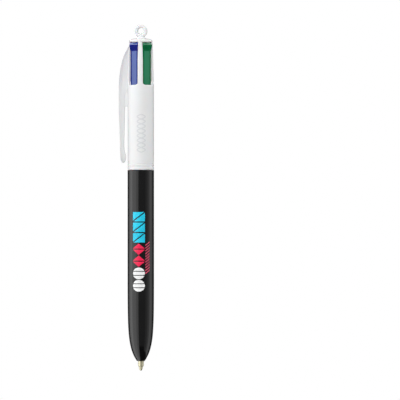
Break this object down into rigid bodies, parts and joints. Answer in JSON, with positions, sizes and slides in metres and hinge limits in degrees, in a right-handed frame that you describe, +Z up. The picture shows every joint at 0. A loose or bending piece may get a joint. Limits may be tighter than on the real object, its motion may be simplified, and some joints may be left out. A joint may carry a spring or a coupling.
{
  "type": "multicolor click pen",
  "caption": "Retractable ballpoint pen with a slider for each refill colour, a sprung pocket clip, a lanyard ring and a screw-off lower barrel.",
  "frame": {"origin": "on the pen's axis, in the plane of the nose's end face", "axes": "+Z up along the pen's axis from the nose to the lanyard ring, -X towards the pocket clip, Y along the lanyard ring's hole"},
  "size_m": [0.0153, 0.0114, 0.1498],
  "materials": {
    "black_barrel": "gloss moulded, with a printed patch",
    "white_plastic": "gloss moulded",
    "inner_plastic": "plain moulded",
    "spring_steel": "bright drawn wire",
    "tube_plastic": "clear moulded",
    "tip_brass": "turned, bright",
    "ball_carbide": "polished",
    "plastic_blue": "gloss moulded",
    "ink_blue": "wet paste",
    "plastic_green": "gloss moulded",
    "ink_green": "wet paste",
    "plastic_red": "gloss moulded",
    "ink_red": "wet paste",
    "plastic_black": "gloss moulded",
    "ink_black": "wet paste"
  },
  "bodies": {
    "root": {"lower_barrel": "black_barrel"},
    "upper_assembly": {"upper_barrel": "white_plastic", "top_cap": "white_plastic", "slider_guide": "inner_plastic", "spring_seat": "inner_plastic"},
    "clip_arm": {"pocket_clip": "white_plastic"},
    "slider_blue": {"slider_blue": "plastic_blue"},
    "refill_blue": {"return_spring_blue": "spring_steel", "refill_tube_blue": "tube_plastic", "ink_blue": "ink_blue", "refill_tip_blue": "tip_brass", "writing_ball_blue": "ball_carbide"},
    "slider_green": {"slider_green": "plastic_green"},
    "refill_green": {"return_spring_green": "spring_steel", "refill_tube_green": "tube_plastic", "ink_green": "ink_green", "refill_tip_green": "tip_brass", "writing_ball_green": "ball_carbide"},
    "slider_red": {"slider_red": "plastic_red"},
    "refill_red": {"return_spring_red": "spring_steel", "refill_tube_red": "tube_plastic", "ink_red": "ink_red", "refill_tip_red": "tip_brass", "writing_ball_red": "ball_carbide"},
    "slider_black": {"slider_black": "plastic_black"},
    "refill_black": {"return_spring_black": "spring_steel", "refill_tube_black": "tube_plastic", "ink_black": "ink_black", "refill_tip_black": "tip_brass", "writing_ball_black": "ball_carbide"}
  },
  "joints": [
    {"name": "barrel_unscrew", "type": "slide", "parent": "root", "child": "upper_assembly", "axis": [0, 0, 1], "range_m": [0, 0.0069]},
    {"name": "clip_flex", "type": "hinge", "parent": "upper_assembly", "child": "clip_arm", "pos_m": [-0.0081, 0, 0.11015], "axis": [0, 1, 0], "range_deg": [-1.5, 5], "stiffness_Nm_per_rad": 1.5},
    {"name": "slide_blue", "type": "slide", "parent": "upper_assembly", "child": "slider_blue", "axis": [0, 0, -1], "range_m": [0, 0.0115], "stiffness_N_per_m": 60, "springref_m": -0.005, "deforming": ["return_spring_blue", "refill_tube_blue", "ink_blue", "refill_tip_blue", "writing_ball_blue"]},
    {"name": "tilt_blue", "type": "hinge", "parent": "slider_blue", "child": "refill_blue", "pos_m": [-0.00205, -0.00205, 0.116], "axis": [0.7071, -0.7071, 0], "range_deg": [0, 1.4]},
    {"name": "slide_green", "type": "slide", "parent": "upper_assembly", "child": "slider_green", "axis": [0, 0, -1], "range_m": [0, 0.0115], "stiffness_N_per_m": 60, "springref_m": -0.005, "deforming": ["return_spring_green", "refill_tube_green", "ink_green", "refill_tip_green", "writing_ball_green"]},
    {"name": "tilt_green", "type": "hinge", "parent": "slider_green", "child": "refill_green", "pos_m": [0.00205, -0.00205, 0.116], "axis": [0.7071, 0.7071, 0], "range_deg": [0, 1.4]},
    {"name": "slide_red", "type": "slide", "parent": "upper_assembly", "child": "slider_red", "axis": [0, 0, -1], "range_m": [0, 0.0115], "stiffness_N_per_m": 60, "springref_m": -0.005, "deforming": ["return_spring_red", "refill_tube_red", "ink_red", "refill_tip_red", "writing_ball_red"]},
    {"name": "tilt_red", "type": "hinge", "parent": "slider_red", "child": "refill_red", "pos_m": [-0.00205, 0.00205, 0.116], "axis": [-0.7071, -0.7071, 0], "range_deg": [0, 1.4]},
    {"name": "slide_black", "type": "slide", "parent": "upper_assembly", "child": "slider_black", "axis": [0, 0, 1], "range_m": [0, 0.0115], "deforming": ["return_spring_black", "refill_tube_black", "ink_black", "refill_tip_black", "writing_ball_black"]},
    {"name": "tilt_black", "type": "hinge", "parent": "slider_black", "child": "refill_black", "pos_m": [0.00205, 0.00205, 0.1045], "axis": [-0.7071, 0.7071, 0], "range_deg": [-1.4, 0]}
  ],
  "couplings": [
    {"joint": "tilt_blue", "follows": "slide_blue", "rad_per_m": 2.1175},
    {"joint": "tilt_green", "follows": "slide_green", "rad_per_m": 2.1175},
    {"joint": "tilt_red", "follows": "slide_red", "rad_per_m": 2.1175},
    {"joint": "tilt_black", "follows": "slide_black", "rad_per_m": -2.1175}
  ]
}
